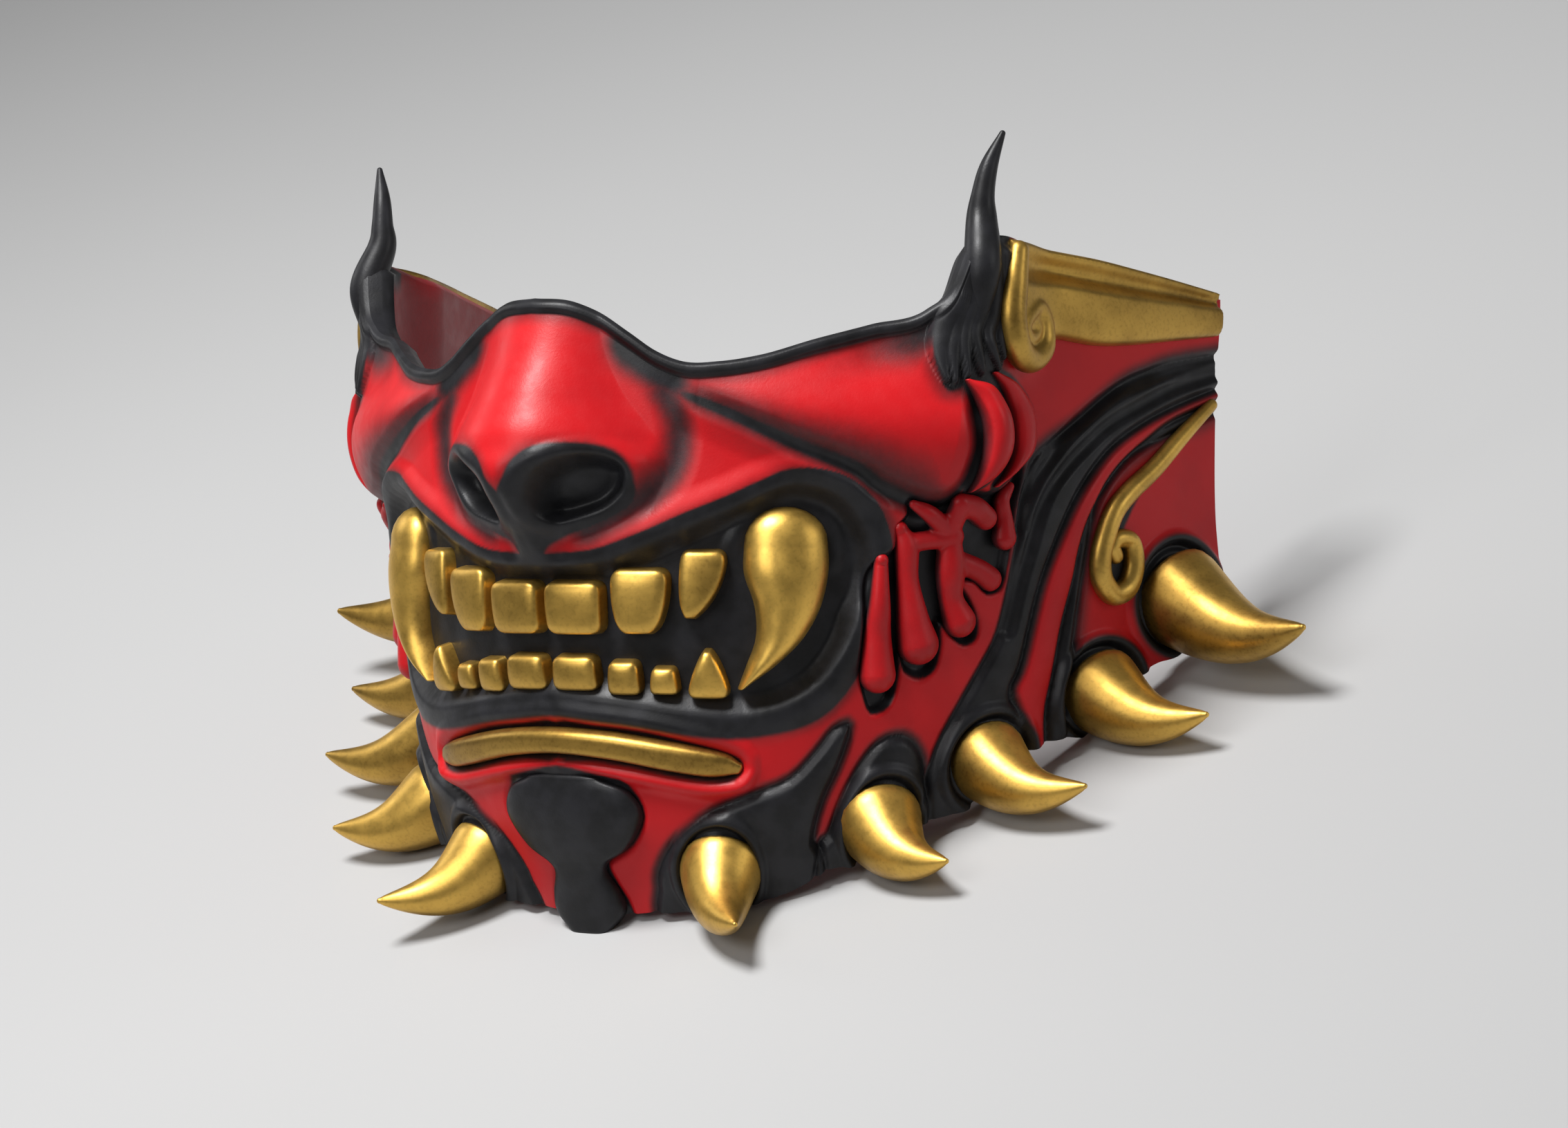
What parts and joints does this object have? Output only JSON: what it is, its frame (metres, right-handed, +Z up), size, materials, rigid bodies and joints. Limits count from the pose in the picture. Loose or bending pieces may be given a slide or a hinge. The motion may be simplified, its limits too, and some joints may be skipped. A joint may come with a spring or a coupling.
{
  "type": "oni half mask",
  "caption": "A demon half mask in cast resin: a hollow red and black face with a snarling mouth, tusks, horns, jaw spikes and gold bands.",
  "frame": {"origin": "on the floor, under the middle of the bounding box, with the mask leaning back on its chin pad and its fourth jaw spikes", "axes": "+X runs to the wearer's left side, +Y from the face towards the open back, +Z up; the mask is mirrored across the plane X = 0"},
  "size_m": [0.278, 0.1772, 0.1374],
  "materials": {
    "red_lacquer": "satin red paint shaded to black",
    "black_lacquer": "satin black paint, finely pebbled",
    "gold_paint": "metallic gold paint with brown shading"
  },
  "bodies": {
    "root": {"chin_pad": "black_lacquer", "crescent_front_left": "red_lacquer", "crescent_front_right": "red_lacquer", "crescent_rear_left": "red_lacquer", "crescent_rear_right": "red_lacquer", "face_shell": "red_lacquer", "front_drip_left": "red_lacquer", "front_drip_right": "red_lacquer", "gold_band_left": "gold_paint", "gold_band_right": "gold_paint", "gold_tendril_left": "gold_paint", "gold_tendril_right": "gold_paint", "horn_left": "black_lacquer", "horn_right": "black_lacquer", "jaw_spike_left_1": "gold_paint", "jaw_spike_left_2": "gold_paint", "jaw_spike_left_3": "gold_paint", "jaw_spike_left_4": "gold_paint", "jaw_spike_left_5": "gold_paint", "jaw_spike_right_1": "gold_paint", "jaw_spike_right_2": "gold_paint", "jaw_spike_right_3": "gold_paint", "jaw_spike_right_4": "gold_paint", "jaw_spike_right_5": "gold_paint", "lip_bar": "gold_paint", "lower_tooth_left_1": "gold_paint", "lower_tooth_left_2": "gold_paint", "lower_tooth_left_3": "gold_paint", "lower_tooth_left_4": "gold_paint", "lower_tooth_right_1": "gold_paint", "lower_tooth_right_2": "gold_paint", "lower_tooth_right_3": "gold_paint", "lower_tooth_right_4": "gold_paint", "rear_drip_left": "red_lacquer", "rear_drip_right": "red_lacquer", "sinew_left": "red_lacquer", "sinew_right": "red_lacquer", "tusk_left": "gold_paint", "tusk_right": "gold_paint", "upper_tooth_left_1": "gold_paint", "upper_tooth_left_2": "gold_paint", "upper_tooth_left_3": "gold_paint", "upper_tooth_right_1": "gold_paint", "upper_tooth_right_2": "gold_paint", "upper_tooth_right_3": "gold_paint"}
  },
  "joints": []
}
